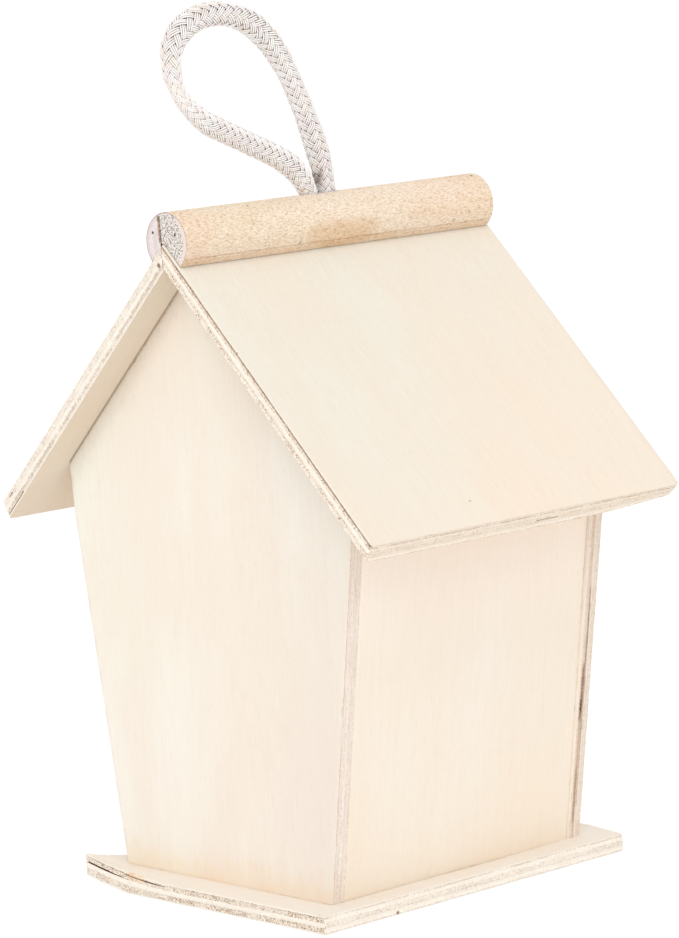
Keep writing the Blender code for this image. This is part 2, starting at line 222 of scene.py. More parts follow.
ropeRoute = [  # millimetres
    (1.0, -3.0, 185.0), (1.0, -3.0, 188.5), (1.0, -2.9, 192.0), (1.0, -1.4, 199.6),
    (1.1, 1.2, 207.9), (1.3, 4.6, 216.4), (1.5, 8.9, 225.2), (1.8, 13.8, 232.7),
    (2.1, 19.6, 238.2), (2.5, 25.9, 241.3), (2.9, 32.3, 242.4), (3.3, 38.8, 241.7),
    (3.6, 44.6, 238.8), (3.8, 47.9, 234.5), (3.9, 48.6, 229.3), (3.8, 47.5, 224.0),
    (3.5, 44.1, 218.5), (3.0, 38.2, 213.5), (2.5, 31.0, 210.0), (2.0, 23.3, 206.4),
    (1.6, 15.7, 202.9), (1.3, 10.1, 199.6), (1.1, 6.0, 195.5), (1.0, 3.9, 191.6),
    (1.0, 3.6, 188.4), (1.0, 3.6, 185.0),
]
rope = {
    "diameter": 6.0 * mm,
    "strandsEachWay": 8,
    "yarns": 3,
    "yarnWidth": 0.5 * mm,
    "yarnThickness": 0.44 * mm,
    "lift": 0.32 * mm,  # how far a strand rises and dips as it crosses the others
    "braidAngle": radians(35),
    "step": 0.56 * mm,
    "sides": 5,
    "coreRings": 150,
    "coreSides": 16,
    "routeStep": 1.0 * mm,
    "stray": 0.08 * mm,  # of a yarn, sideways
    "crown": 0.05 * mm,  # of a strand's middle yarn over the others
    "uneven": 0.06 * mm,
    "fullness": [  # share of the route, share of the usual thickness
        (0.0, 0.9), (0.045, 0.92), (0.07, 1.0), (0.105, 1.13), (0.14, 1.12), (0.18, 1.02), (0.26, 1.0),
        (0.285, 1.1), (0.31, 1.16), (0.36, 1.24), (0.42, 1.15), (0.5, 1.18), (0.525, 1.22), (0.55, 1.12),
        (0.585, 0.93), (0.63, 0.72), (0.66, 0.8), (0.7, 0.97), (0.715, 1.06), (0.78, 1.04), (0.87, 1.06),
        (0.895, 1.13), (0.93, 1.02), (0.96, 0.88), (1.0, 0.84),
    ],
}


def smoothRoute(points, step):
    places = [Vector(p) * mm for p in points]
    padded = [2 * places[0] - places[1], *places, 2 * places[-1] - places[-2]]
    found = []
    for before, a, b, after in zip(padded, padded[1:], padded[2:], padded[3:]):
        count = max(1, round((b - a).length / step))
        for i in range(count):
            t = i / count
            found.append(0.5 * (
                2 * a + (b - before) * t
                + (2 * before - 5 * a + 4 * b - after) * t**2
                + (3 * a - before - 3 * b + after) * t**3
            ))
    return [*found, places[-1]]


def between(pairs, t):  # a value read from (place, value) pairs, with smooth turns
    for (t0, v0), (t1, v1) in zip(pairs, pairs[1:]):
        if t <= t1:
            s = min(1.0, max(0.0, (t - t0) / (t1 - t0)))
            return v0 + (v1 - v0) * s * s * (3 - 2 * s)
    return pairs[-1][1]


class RopeLine:
    # a line with a frame that doesn't twist, read by distance along it
    def __init__(self, points):
        self.points = points
        self.tangents = []
        for i in range(len(points)):
            ahead = points[min(i + 1, len(points) - 1)]
            self.tangents.append((ahead - points[max(i - 1, 0)]).normalized())
        self.sides = [self.tangents[0].orthogonal().normalized()]
        for before, now in zip(self.tangents, self.tangents[1:]):
            turned = before.rotation_difference(now) @ self.sides[-1]
            self.sides.append((turned - turned.dot(now) * now).normalized())
        self.distances = [0.0]
        for a, b in zip(points, points[1:]):
            self.distances.append(self.distances[-1] + (b - a).length)
        self.length = self.distances[-1]

    def at(self, distance):
        i = min(bisect_right(self.distances, distance), len(self.points) - 1) - 1
        t = (distance - self.distances[i]) / (self.distances[i + 1] - self.distances[i])
        place = self.points[i].lerp(self.points[i + 1], t)
        tangent = self.tangents[i].lerp(self.tangents[i + 1], t).normalized()
        side = self.sides[i].lerp(self.sides[i + 1], t).normalized()
        return place, tangent, side


def tubeFaces(made, rings, slot, heights=None):
    # joins rings of points into a closed tube, noting how high in the braid each ring lies
    loops = [[made.verts.new(p) for p in ring] for ring in rings]
    if heights:
        layer = made.verts.layers.float["braidHeight"]
        for loop, height in zip(loops, heights):
            for vert in loop:
                vert[layer] = height
    count = len(loops[0])
    faces = [made.faces.new(loops[0][::-1]), made.faces.new(loops[-1])]
    for low, high in zip(loops, loops[1:]):
        for k in range(count):
            n = (k + 1) % count
            faces.append(made.faces.new((low[k], low[n], high[n], high[k])))
    for face in faces:
        face.smooth = True
        face.material_index = slot


def ropePoint(line, r, distance, angle, radius):
    distance = min(max(distance, 0.0), line.length)
    place, tangent, side = line.at(distance)
    out = cos(angle) * side + sin(angle) * tangent.cross(side)
    fullness = between(r["fullness"], distance / line.length)
    return place + out * radius * fullness, out


def addStrand(made, line, r, way, index, yarn):
    middle = r["diameter"] / 2 - r["lift"] - r["yarnThickness"] / 2
    spacing = 2 * pi * middle / r["strandsEachWay"]
    offset = (yarn - (r["yarns"] - 1) / 2) * r["yarnWidth"]
    seed = Vector((way * 3.1, index * 5.7, yarn * 2.3))
    count = int(line.length / (cos(r["braidAngle"]) * r["step"]))
    centres = []
    heights = []
    for i in range(count + 1):
        distance = line.length * i / count
        jitter = noise.noise_vector(seed + Vector((distance / mm * 0.4, 0, 0)))
        across = way * tan(r["braidAngle"]) * distance + index * spacing
        over = way * cos(pi * (across / spacing - 0.25))  # over two, then under two
        rise = max(-1.0, min(1.0, 1.5 * over))
        across += cos(r["braidAngle"]) * offset + r["stray"] * jitter.x
        slid = distance - way * sin(r["braidAngle"]) * offset
        bulge = r["crown"] * (1.0 - abs(yarn - 1)) + r["uneven"] * jitter.y
        centres.append(ropePoint(line, r, slid, across / middle, middle + rise * r["lift"] + bulge))
        heights.append(rise)
    rings = []
    kept = []
    for i, (place, out) in enumerate(centres):
        ahead = centres[min(i + 1, count)][0] - centres[max(i - 1, 0)][0]
        if ahead.length < 1e-7:
            continue
        flat = ahead.normalized().cross(out).normalized()
        size = 1.0 + 0.1 * noise.noise(seed + Vector((0, i * 0.21, 0)))
        ring = []
        for k in range(r["sides"]):
            turn = 2 * pi * k / r["sides"] + pi / 2
            wide = cos(turn) * r["yarnWidth"] / 2 * size
            thick = sin(turn) * r["yarnThickness"] / 2 * size
            ring.append(place + flat * wide + out * thick)
        rings.append(ring)
        kept.append(heights[i])
    tubeFaces(made, rings, 0, kept)


def addRopeCore(made, line, r):
    radius = r["diameter"] / 2 - 2 * r["lift"] - r["yarnThickness"] * 0.85
    turns = [2 * pi * k / r["coreSides"] for k in range(r["coreSides"])]
    rings = []
    for i in range(r["coreRings"] + 1):
        distance = line.length * i / r["coreRings"]
        rings.append([ropePoint(line, r, distance, turn, radius)[0] for turn in turns])
    tubeFaces(made, rings, 1)


def yarnPaint():
    p = Paint("undyed cotton yarn")
    place = p.node("ShaderNodeTexCoord", out="Object")
    height = p.node("ShaderNodeAttribute", {"attribute_name": "braidHeight"}, out="Fac")
    shade = p.noise(place, 350.0, 3.0)
    fibre = p.noise(place, 5000.0, 2.0)
    warmth = p.noise(p.scaled(place, (260.0, 260.0, 260.0), (5.0, 0.0, 0.0)), 1.0, 1.0)
    colour = p.mix(shade.rise(0.35, 0.65), (0.905, 0.845, 0.83), (0.945, 0.925, 0.905))
    colour = p.tint(warmth.rise(0.5, 0.68) * 0.7, colour, (0.99, 0.955, 0.89))
    colour = p.tint(fibre.rise(0.5, 0.75) * 0.3, colour, (0.74, 0.68, 0.65))
    # painted shade: yarns are darkened where they dip under the strands that cross them
    colour = p.tint(height.fall(-1.1, 0.7) * 0.65, colour, (0.60, 0.54, 0.50))
    x, y, z = p.split(place)
    # more painted shade on the low yarns just above the ridge rod, where the rope goes into it
    colour = p.tint(height.fall(-1.0, 0.8) * z.fall(0.199, 0.214) * 0.35, colour, (0.66, 0.57, 0.51))
    # painted shade: a dark band along the line where the two ends press together
    contactShade = y.near(0.0004, 0.0009) * z.fall(0.195, 0.199)  # where the two ends press together
    colour = p.tint(contactShade * 0.9, colour, (0.30, 0.24, 0.21))
    p.shader.inputs["Sheen Weight"].default_value = 0.2
    p.shader.inputs["Sheen Roughness"].default_value = 0.6
    return p.finish(colour, 0.9 - 0.08 * shade, p.bump(fibre, 0.00008, 0.7), specular=0.15)


def ropeCoreShadePaint():
    # painted shade: the core is coloured dark so that the gaps between the yarns show as shade
    p = Paint("rope core in shade")
    place = p.node("ShaderNodeTexCoord", out="Object")
    patch = p.noise(place, 1200.0, 2.0)
    colour = p.mix(patch.rise(0.35, 0.65), (0.20, 0.17, 0.15), (0.36, 0.32, 0.29))
    return p.finish(colour, 0.95 - 0.03 * patch, specular=0.05)


def makeRope(r):
    route = smoothRoute(ropeRoute, r["routeStep"])
    line = RopeLine(route)
    made = bmesh.new()
    made.verts.layers.float.new("braidHeight")
    addRopeCore(made, line, r)
    for way in (1, -1):
        for index in range(r["strandsEachWay"]):
            for yarn in range(r["yarns"]):
                addStrand(made, line, r, way, index, yarn)
    mesh = bpy.data.meshes.new("braided_rope")
    bmesh.ops.recalc_face_normals(made, faces=made.faces)
    made.to_mesh(mesh)
    made.free()
    mesh.materials.append(yarnPaint())
    mesh.materials.append(ropeCoreShadePaint())
    piece = bpy.data.objects.new("braided_rope", mesh)
    scene.collection.objects.link(piece)
    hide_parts("hanging_loop", "rope_end_front", "rope_end_back")
    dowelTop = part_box("ridge_dowel")[1].z
    hinge = frame["joints"][0]["pos_m"]
    bendEnd = 2 * hinge[2] - dowelTop  # the bend's middle is the hinge
    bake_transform(piece, "root", "loop", start=(hinge[0], hinge[1], dowelTop), end=(hinge[0], hinge[1], bendEnd))
    print("rope braided:", len(mesh.polygons), "faces,", round(line.length / mm, 1), "mm long")


makeRope(rope)


# Plywood. Five plies: thin outer veneers, their grain lengthwise, and three thicker ones that take turns.

plies = [0.0, 0.092, 0.365, 0.625, 0.908, 1.0]  # where each ply ends, from the inner face to the outer
plyStep = 0.04 * mm  # half the width of the step between two plies
gridPitch = 1.6 * mm


def boardAxes(out, grain):
    # a board's own axes: x along the veneers' grain, y across it, z out of its outer face
    z = Vector(out).normalized()
    x = Vector(grain).normalized()
    return Matrix((x, z.cross(x), z)).transposed().to_4x4()


def cadCopy(node, toLocal):
    made = bmesh.new()
    made.from_mesh(nodes[node].data)
    made.transform(toLocal)
    bmesh.ops.remove_doubles(made, verts=made.verts, dist=2e-6)
    return made


def span(made, axis):
    values = [v.co[axis] for v in made.verts]
    return min(values), max(values)


def sliceAt(made, axis, values):
    normal = Vector((0, 0, 0))
    normal[axis] = 1
    for value in values:
        every = made.verts[:] + made.edges[:] + made.faces[:]
        bmesh.ops.bisect_plane(made, geom=every, plane_co=normal * value, plane_no=normal, dist=1e-6)


def sliceGrid(made, axis, pitch):
    low, high = span(made, axis)
    count = max(1, round((high - low) / pitch))
    sliceAt(made, axis, [low + (high - low) * (i + 0.5) / count for i in range(count)])


def plyAt(depth):
    return sum(depth > edge for edge in plies[1:-1])


wear = {  # millimetres
    "saw": 0.05,
    "fuzz": 0.06,
    "back": (0.0, 0.08, 0.02, 0.08, 0.0),  # how far each ply stands back
    "chip": 0.6,
}


def wearEdges(made, low, high, b, w):
    # roughens the sawn edges: crosswise plies stand back, and the veneers have lost small chips
    made.normal_update()
    shift = {}
    for v in made.verts:
        flat = Vector((v.normal.x, v.normal.y, 0))
        if flat.length < 0.35:
            continue
        ply = plyAt((v.co.z - low) / (high - low))
        place = v.co / mm + Vector((b["seed"] * 7.3, 0, 0))
        saw = noise.noise(place * 0.55) * w["saw"]
        fuzz = noise.noise(Vector((place.x * 1.7, place.y * 1.7, ply * 9.1))) * w["fuzz"]
        chip = 0.0
        if ply in (0, 4):
            chip = max(0.0, noise.noise(Vector((place.x * 0.8, place.y * 0.8, ply * 4.0))) - 0.25) * w["chip"]
        shift[v] = flat.normalized() * (saw + fuzz - w["back"][ply] - chip) * mm
    for v, move in shift.items():
        v.co += move
    for away, amount in b["reach"]:  # closes the hairline under the glued edges
        away = Vector(away).normalized()
        for v in shift:
            if v.normal.dot(away) > 0.6:
                v.co += away * amount * mm


def placePiece(made, name, node, place, material, sharp=28):
    mesh = bpy.data.meshes.new(name)
    mesh.materials.append(material)
    made.to_mesh(mesh)
    made.free()
    mesh.shade_smooth()
    mesh.set_sharp_from_angle(angle=radians(sharp))
    piece = bpy.data.objects.new(name, mesh)
    scene.collection.objects.link(piece)
    piece.matrix_world = place
    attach(piece, "root")
    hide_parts(node)
    print(name, "made:", len(mesh.polygons), "faces")
    return piece


def addMarks(p, colour, coords, marks, uneven):
    for at, size, share, markColour in marks:
        apart = p.node("ShaderNodeVectorMath", {"operation": "DISTANCE"}, {0: coords, 1: at}, out="Value")
        ragged = apart + (uneven - 0.5) * size * 0.9
        colour = p.mix(ragged.fall(size * 0.4, size) * share, colour, markColour)
    return colour


class PlyPaint(Paint):
    # plywood in a board's own axes: veneer on the broad faces, the plies on the sawn edges
    def __init__(self, name, b):
        super().__init__(name)
        source = self.node("ShaderNodeTexCoord", out="Object")
        self.coords = self.inMillimetres(source)
        self.x, self.y, z = self.split(self.coords)
        facing = self.node("ShaderNodeTexCoord", out="Normal")
        self.normalX, self.normalY, self.normalZ = self.split(facing)
        self.depth = self.node("ShaderNodeAttribute", {"attribute_name": "plyDepth"}, out="Fac")
        place = self.inMillimetres(source, (b["seed"] * 31.7, b["seed"] * 17.3, b["seed"] * 5.1))
        self.place = place
        self.grain = self.noise(self.scaled(place, (0.06, 1.6, 1.0)), 1.0, 3.0, 0.6)
        self.pores = self.noise(self.scaled(place, (0.45, 3.2, 2.0)), 1.0, 1.0, 0.5)
        self.mottle = self.noise(self.scaled(place, (0.3, 0.5, 0.5)), 1.0, 3.0, 0.6)
        self.warp = self.noise(place, 1.3, 2.0, 0.6)
        self.flecks = self.noise(self.scaled(place, (1.7, 1.7, 2.2)), 1.0, 2.0, 0.65)
        self.patches = self.noise(place, 0.16, 2.0)
        dots = self.cells(self.scaled(place, (1.35, 1.35, 1.7)), 1.0)
        self.dark = dots.fall(0.2, 0.42) * (self.warp + self.patches * 0.5).rise(0.58, 0.8)

    def face(self, b):
        broad = self.noise(self.scaled(self.place, (0.012, 0.035, 0.03)), 1.0, 3.0, 0.55)
        bands = self.noise(self.scaled(self.place, (0.006, 0.22, 0.1)), 1.0, 3.0, 0.6)
        face = self.mix(broad.rise(0.35, 0.65), b["warm"], b["cool"])
        face = self.mix(bands.rise(0.45, 0.75) * 0.5, face, b["rosy"])
        face = self.tint(self.grain.rise(0.4, 0.75) * 0.35, face, (0.95, 0.91, 0.87))
        face = self.tint(self.pores.rise(0.62, 0.8) * 0.45, face, (0.90, 0.85, 0.80))
        face = self.tint(self.mottle.rise(0.5, 0.72) * 0.35, face, (0.97, 0.945, 0.91))
        if b["scuffs"]:  # short light and dark scratches along the grain
            scuff = self.noise(self.scaled(self.place, (0.5, 2.6, 1.0), (3.0, 9.0, 2.0)), 1.0, 2.0, 0.6)
            here = (self.x + (self.mottle - 0.5) * 60).fall(*b["scuffs"])
            face = self.mix(scuff.rise(0.6, 0.72) * here * 0.45, face, (0.93, 0.88, 0.80))
            face = self.tint(scuff.fall(0.3, 0.42) * here * 0.35, face, (0.90, 0.86, 0.82))
        isInner = self.normalZ.fall(-0.5, 0.0)
        # painted shade: the inner face is tinted darker, as on the undersides of the roof boards
        face = self.tint(isInner, face, b["innerShade"])
        for change in b["gradients"]:  # slow changes of tone over the board
            run = self.x * change["along"][0] + self.y * change["along"][1]
            share = (run + (self.mottle - 0.5) * change["uneven"]).rise(*change["over"])
            face = self.tint(share * change["share"], face, change["colour"])
        if b["corner"]:  # the shaded corner where a gable meets the underside
            at, until = b["corner"]
            share = self.y.near(at, 0.5) * self.x.fall(until - 1, until) * isInner
            face = self.tint(share * 0.85, face, (0.42, 0.35, 0.30))
        # painted shade: the faces within the splits between the plies are coloured dark brown
        within = self.depth.rise(0.1, 0.12) * self.depth.fall(0.88, 0.9)
        split = abs(self.normalZ).rise(0.6, 0.85) * within
        return self.mix(split * b["splitShade"], face, (0.46, 0.29, 0.18))

    def line(self, line, edge):
        # pores in a line along an edge, all of it or a stretch of the grain. A ragged line is a void in the
        # plies, darkened with painted shade
        start, end = line.get("stretch", (-1000, 1000))
        depth = self.depth + (self.flecks - 0.5) * line.get("ragged", 0.0)
        near = depth.near(line["depth"], line["width"])
        if "ragged" in line:  # a hollow, with sharper borders
            near = near.rise(0.15, 0.5) * (0.7 + 0.3 * self.flecks.rise(0.4, 0.6))
        near = near * self.x.rise(start - 1.5, start + 1.5) * self.x.fall(end - 1.5, end + 1.5)
        if "only" in line:
            near = near * abs({"x": self.normalX, "y": self.normalY}[line["only"]]).rise(0.5, 0.8)
        broken = (self.warp * 0.6 + self.patches * 0.6).rise(*line.get("broken", (0.45, 0.68)))
        return self.tint(near * broken * line["share"], edge, line["colour"])

    def edge(self, b):
        depth = self.depth
        alongGrain = abs(self.normalY)
        acrossGrain = abs(self.normalX)
        soft = 0.008  # of the change from one ply to the next
        borders = [(end - soft, end + soft) for end in plies]
        crossPly = depth.rise(*borders[1]) * depth.fall(*borders[2])
        crossPly += depth.rise(*borders[3]) * depth.fall(*borders[4])
        endGrain = crossPly * alongGrain.rise(0.35, 0.75) + (1 - crossPly) * acrossGrain.rise(0.35, 0.75)
        endGrain = (endGrain * b["endGrain"] * (0.7 + 0.6 * self.patches.rise(0.35, 0.65))).least(1.0)
        endGrain = endGrain * (1 - acrossGrain.rise(0.5, 0.8) * b["calm"])
        streak = self.noise(self.scaled(self.place, (0.1, 0.1, 3.2)), 1.0, 2.0, 0.6)
        clean = self.mix(self.warp.rise(0.35, 0.7), b["edgeLight"], b["edgeWarm"])
        clean = self.tint(streak.rise(0.48, 0.7) * b["streaks"], clean, (0.87, 0.79, 0.73))
        endTone = self.mix(self.flecks.rise(0.4, 0.62), b["endDark"], b["endLight"])
        endTone = self.mix(self.dark * b["dots"], endTone, b["dotColour"])
        edge = self.mix(endGrain, clean, endTone)
        glue = depth.near(plies[1], 0.02).most(depth.near(plies[2], 0.014))
        glue = glue.most(depth.near(plies[3], 0.014)).most(depth.near(plies[4], 0.02))
        edge = self.tint(glue * self.warp.rise(0.4, 0.6) * 0.5, edge, (0.55, 0.45, 0.37))
        edge = self.tint(alongGrain.rise(0.5, 0.8), edge, b["sideTint"])
        edge = self.tint(acrossGrain.rise(0.5, 0.8), edge, b["footTint"])
        for line in b["lines"]:
            edge = self.line(line, edge)
        return edge

    def wholeBoard(self, b):
        isEdge = abs(self.normalZ).fall(0.5, 0.8)
        colour = self.mix(isEdge, self.face(b), self.edge(b))
        colour = addMarks(self, colour, self.coords, b["marks"], self.warp)
        veneerHeight = self.grain * 0.3 + self.pores * 0.35
        edgeHeight = (self.flecks + 0.8 * (1 - self.dark)) * 1.1
        height = veneerHeight * (1 - isEdge) + edgeHeight * isEdge
        roughness = 0.62 + 0.14 * self.grain + 0.1 * isEdge
        return self.finish(colour, roughness, self.bump(height, 0.00009, 0.7), specular=0.2)


pale = {  # what the boards share unless they say otherwise
    "warm": (0.885, 0.785, 0.665),
    "cool": (0.885, 0.805, 0.700),
    "rosy": (0.895, 0.780, 0.685),
    # painted shade on a board's inner face, as a tint
    "innerShade": (1.0, 1.0, 1.0),
    "edgeLight": (0.93, 0.875, 0.78),
    "edgeWarm": (0.89, 0.80, 0.69),
    "endLight": (0.90, 0.81, 0.695),
    "endDark": (0.70, 0.56, 0.43),
    "dots": 0.8,
    "dotColour": (0.27, 0.155, 0.085),
    "streaks": 0.5,
    "sideTint": (1.0, 1.0, 1.0),  # of the edges that run along the grain
    "footTint": (1.0, 1.0, 1.0),  # of the edges that cross it
    "endGrain": 0.9,
    "calm": 0.0,  # how much less of it shows on the edges that cross the veneers' grain
    "gradients": [],
    "reach": [],
    "scuffs": None,
    "lines": [],
    # painted shade in the splits between the plies
    "splitShade": 0.0,  # how dark the splits between the plies are
    "corner": None,  # a shaded line on the inner face: its y, and the x that it runs up to
    "marks": [],  # placed in the world, in millimetres
}


def makeBoard(name, settings):
    b = {**pale, **settings}
    toLocal = b["axes"].inverted()
    b["marks"] = [(tuple(toLocal @ Vector(at)), *rest) for at, *rest in b["marks"]]
    made = cadCopy(b["node"], toLocal)
    if "flatten" in b:
        for v in made.verts:
            v.co.z = b["flatten"](v.co)
    low, high = span(made, 2)
    thick = high - low
    levels = [low + share * thick + side * plyStep for share in plies[1:-1] for side in (-1, 1)]
    levels += [low + share * thick for share in (0.23, 0.5, 0.77)]
    sliceAt(made, 2, levels)
    sliceGrid(made, 0, gridPitch)
    sliceGrid(made, 1, gridPitch)
    depth = made.verts.layers.float.new("plyDepth")
    for v in made.verts:
        v[depth] = (v.co.z - low) / thick
    wearEdges(made, low, high, b, wear)
    if "bow" in b:
        for v in made.verts:
            v.co += b["bow"](v.co, v[depth])
    if "flatten" in b:
        for v in made.verts:
            v.co.z = b["curl"](v.co)
    material = PlyPaint(name.replace("_", " "), b).wholeBoard(b)
    placePiece(made, name, b["node"], b["axes"], material)


def ramp(value, low, high):
    return min(1.0, max(0.0, (value - low) / (high - low)))


def proudEdge(foot, eave):
    # pushes one upright edge of a gable out past the side wall, by so many millimetres at its foot and eave
    def push(place, depth):
        x, y = place.x / mm, place.y / mm
        amount = (foot + (eave - foot) * x / 105.0) * (1.0 - ramp(x, 106.0, 114.0))
        return Vector((0.0, amount * max(0.0, y) / 55.0 * mm, 0.0))

    return push


def planedEave(place, depth):
    # the right eave's lower arris was planed away towards its far end
    x, y = place.x / mm, place.y / mm
    amount = 1.5 * ramp(y, 25.0, 58.6) ** 1.4 * ramp(x, -29.1, -22.1) * max(0.0, 1.0 - depth / 0.8)
    return Vector((-amount * mm, 0.0, 0.35 * amount * mm))


base = {  # millimetres
    "thick": 5.0,
    "topRise": 4.3,  # of the curled corner
    "bottomRise": 3.0,
    "bow": 1.0,  # how far the front edge is bent up
}


def curlAt(place):
    # how far the base's underside and top have risen at a place
    x, y = place.x / mm, place.y / mm
    margin = max(ramp(x, 41.6, 49.0), ramp(y, 48.3, 58.0))
    top = base["topRise"] * margin * (ramp(x, 15.0, 49.0) * ramp(y, 33.0, 58.0)) ** 1.7
    bottom = base["bottomRise"] * margin * ramp(x, 31.5, 49.0) * ramp(y, 40.5, 58.0)
    return bottom * mm, top * mm


def flattenBase(place):
    bottom, top = curlAt(place)
    thick = base["thick"] * mm
    return thick * (place.z - bottom) / (thick + top - bottom)


def curlBase(place):
    bottom, top = curlAt(place)
    thick = base["thick"] * mm
    bow = base["bow"] * mm * ramp(-place.y / mm, 15.0, 50.0) * ramp(place.x / mm, -49.0, -35.0)
    return bottom + bow + place.z * (thick + top - bottom) / thick


lean = atan2(58.0 - 41.3, 117.7 - 5.3)  # of the side walls, from upright

gableReach = [((-1, 0, 0), 0.45), ((1, 1, 0), 0.3), ((1, -1, 0), 0.3)]
wallReach = [((-1, 0, 0), 0.45), ((0, 1, 0), 0.4), ((0, -1, 0), 0.4), ((1, 0, 0), 0.3)]

makeBoard("back_gable_board", {
    "node": "back_panel",
    "axes": boardAxes((0, 1, 0), (0, 0, 1)),
    "seed": 1.0,
    "bow": proudEdge(1.7, 0.8),
    "reach": gableReach,
    "warm": (0.860, 0.772, 0.663),
    "cool": (0.875, 0.825, 0.725),
    "rosy": (0.868, 0.770, 0.680),
    "endGrain": 0.3,
    "dots": 0.15,
    "endDark": (0.76, 0.66, 0.59),
    "streaks": 1.0,
    "sideTint": (0.955, 0.92, 0.92),
    "lines": [
        {"depth": 0.90, "width": 0.05, "share": 0.8, "colour": (0.80, 0.70, 0.58)},
    ],
    "gradients": [
        {"along": (-1, 0), "over": (-15, -5), "uneven": 14, "share": 0.9, "colour": (1.015, 0.955, 0.865)},
        {"along": (-1, 0), "over": (-75, -30), "uneven": 14, "share": 1.0, "colour": (1.0, 0.982, 0.99)},
        {"along": (1, 0), "over": (135, 165), "uneven": 10, "share": 1.0, "colour": (1.04, 1.04, 1.04)},
        # painted shade on the gable just under the left roof board
        {"along": (1, 1), "over": (166, 176), "uneven": 6, "share": 1.0, "colour": (0.88, 0.87, 0.86)},
        {"along": (0, -1), "over": (5, 45), "uneven": 20, "share": 1.0, "colour": (0.965, 0.96, 0.97)},
        {"along": (0, 1), "over": (5, 45), "uneven": 20, "share": 1.0, "colour": (1.005, 1.03, 1.035)},
    ],
})
makeBoard("front_gable_board", {
    "node": "front_panel",
    "axes": boardAxes((0, -1, 0), (0, 0, 1)),
    "seed": 2.0,
    "bow": proudEdge(0.45, 1.25),
    "reach": gableReach,
    "endGrain": 0.35,
    "dots": 0.2,
    "streaks": 0.8,
    "sideTint": (0.95, 0.90, 0.88),
    "lines": [
        # painted highlight: a light line on the inner veneer, where the proud edge catches the light
        {"depth": 0.05, "width": 0.05, "share": 1.0, "colour": (1.08, 1.12, 1.15), "broken": (0.1, 0.3)},
        {"depth": 0.34, "width": 0.2, "share": 0.5, "colour": (0.76, 0.64, 0.56), "broken": (0.3, 0.5)},
        # painted shade: these ragged lines are voids in the core ply, their darkness painted on
        {"depth": 0.33, "width": 0.17, "share": 0.95, "colour": (0.42, 0.30, 0.24), "stretch": (42, 56),
         "broken": (0.15, 0.4), "ragged": 0.2},
        {"depth": 0.28, "width": 0.15, "share": 0.9, "colour": (0.32, 0.22, 0.17), "stretch": (40, 46),
         "broken": (0.1, 0.2), "ragged": 0.25},
        {"depth": 0.34, "width": 0.2, "share": 0.6, "colour": (0.70, 0.58, 0.51), "stretch": (26, 41),
         "broken": (0.2, 0.4), "ragged": 0.35},
        {"depth": 0.30, "width": 0.14, "share": 0.8, "colour": (0.48, 0.36, 0.28), "stretch": (10, 26),
         "broken": (0.3, 0.45), "ragged": 0.2},
        {"depth": 0.42, "width": 0.06, "share": 0.9, "colour": (0.30, 0.22, 0.18), "stretch": (56, 78),
         "broken": (0.2, 0.4)},
    ],
})
makeBoard("left_wall_board", {
    "node": "left_wall",
    "axes": boardAxes((cos(lean), 0, -sin(lean)), (sin(lean), 0, cos(lean))),
    "seed": 3.0,
    "reach": wallReach,
})
makeBoard("right_wall_board", {
    "node": "right_wall",
    "axes": boardAxes((-cos(lean), 0, -sin(lean)), (-sin(lean), 0, cos(lean))),
    "seed": 4.0,
    "reach": wallReach,
    "gradients": [
        {"along": (-1, 0), "over": (-60, -6), "uneven": 10, "share": 0.8, "colour": (1.0, 0.97, 0.93)},
        {"along": (1, 0), "over": (72, 106), "uneven": 8, "share": 1.0, "colour": (1.10, 1.09, 1.11)},
    ],
})
makeBoard("left_roof_board", {
    "node": "left_roof_panel",
    "axes": boardAxes((1, 0, 1), (1, 0, -1)),
    "seed": 5.0,
    "innerShade": (0.875, 0.845, 0.795),
    "corner": (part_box("back_panel")[1].y / mm + 0.2, -43),
    "endGrain": 0.7,
    "dots": 0.55,
    "endDark": (0.76, 0.68, 0.58),
    "dotColour": (0.36, 0.27, 0.20),
    "lines": [
        # painted shade: a ragged line of small voids in the ply, painted dark
        {"depth": 0.27, "width": 0.12, "share": 0.55, "colour": (0.52, 0.43, 0.35), "only": "y",
         "broken": (0.42, 0.6), "ragged": 0.5},
    ],
    "marks": [  # place, size, share and colour
        # painted shade: these three marks are the dark gap under the tip of the ridge rod's notch
        ((2.2, 58.6, 176.8), 0.9, 0.9, (0.22, 0.13, 0.08)),
        ((0.0, 58.6, 181.0), 1.5, 0.55, (0.58, 0.42, 0.30)),
        ((-0.3, 58.6, 177.5), 1.0, 0.8, (0.30, 0.19, 0.12)),
    ],
})
